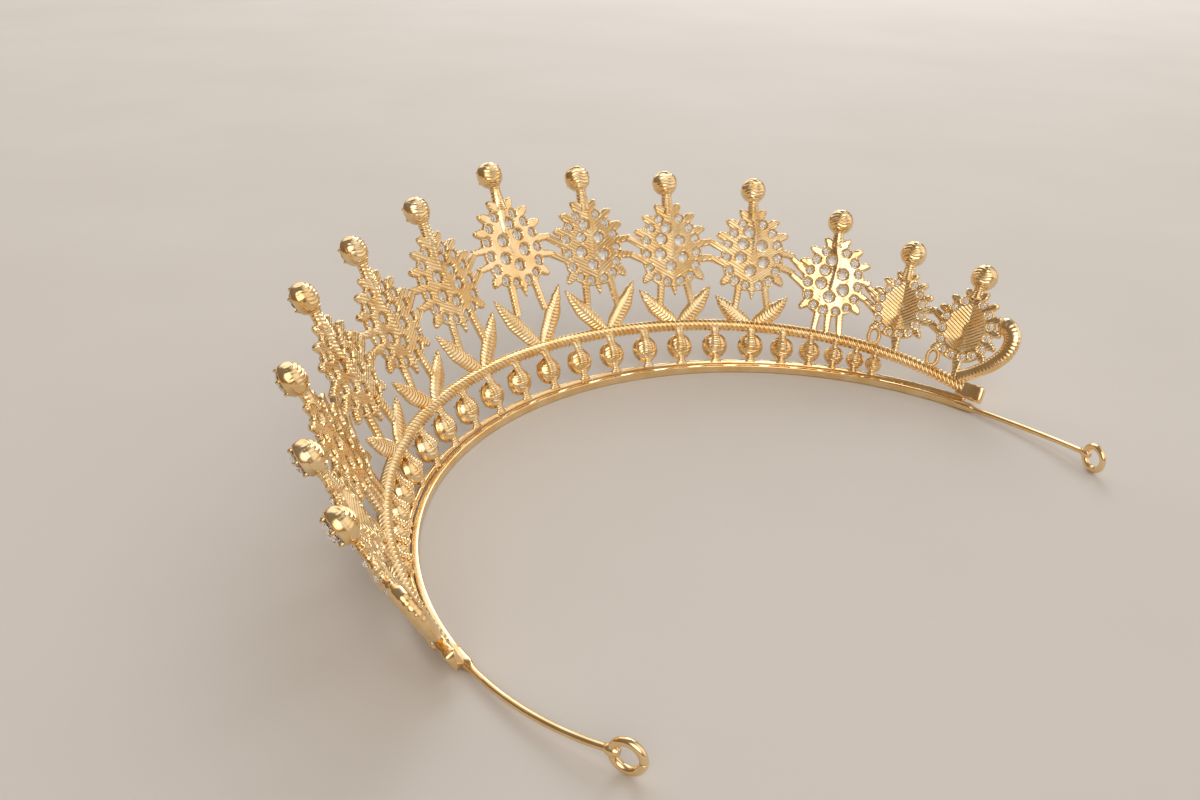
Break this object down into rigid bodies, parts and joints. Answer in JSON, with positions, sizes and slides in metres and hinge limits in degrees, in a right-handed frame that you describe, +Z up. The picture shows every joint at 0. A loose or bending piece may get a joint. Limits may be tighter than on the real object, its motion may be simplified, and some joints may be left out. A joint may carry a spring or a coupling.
{
  "type": "tiara",
  "caption": "Gold-plated openwork tiara: pear-shaped clusters on leaves over a jewelled rope rail, with jewelled finials, end scrolls and a plain headband ending in eyelets.",
  "frame": {"origin": "on the surface it stands on, under the middle of its overall width and depth", "axes": "+X to the wearer's left across the head, -Y towards the front of the tiara, +Z up"},
  "size_m": [0.1768, 0.1302, 0.051],
  "materials": {
    "polished_gold": "polished",
    "cast_gold": "polished, finely ribbed",
    "crystal": "faceted, clear"
  },
  "bodies": {
    "root": {"headband": "polished_gold", "gallery_casting": "cast_gold", "finial_stone_01": "crystal", "finial_stone_02": "crystal", "finial_stone_03": "crystal", "finial_stone_04": "crystal", "finial_stone_05": "crystal", "finial_stone_06": "crystal", "finial_stone_07": "crystal", "finial_stone_08": "crystal", "finial_stone_09": "crystal", "finial_stone_10": "crystal", "finial_stone_11": "crystal", "finial_stone_12": "crystal", "finial_stone_13": "crystal", "rail_stone_01": "crystal", "rail_stone_02": "crystal", "rail_stone_03": "crystal", "rail_stone_04": "crystal", "rail_stone_05": "crystal", "rail_stone_06": "crystal", "rail_stone_07": "crystal", "rail_stone_08": "crystal", "rail_stone_09": "crystal", "rail_stone_10": "crystal", "rail_stone_11": "crystal", "rail_stone_12": "crystal", "rail_stone_13": "crystal", "rail_stone_14": "crystal", "rail_stone_15": "crystal", "rail_stone_16": "crystal", "rail_stone_17": "crystal", "rail_stone_18": "crystal", "rail_stone_19": "crystal", "rail_stone_20": "crystal", "rail_stone_21": "crystal", "rail_stone_22": "crystal", "rail_stone_23": "crystal"}
  },
  "joints": []
}
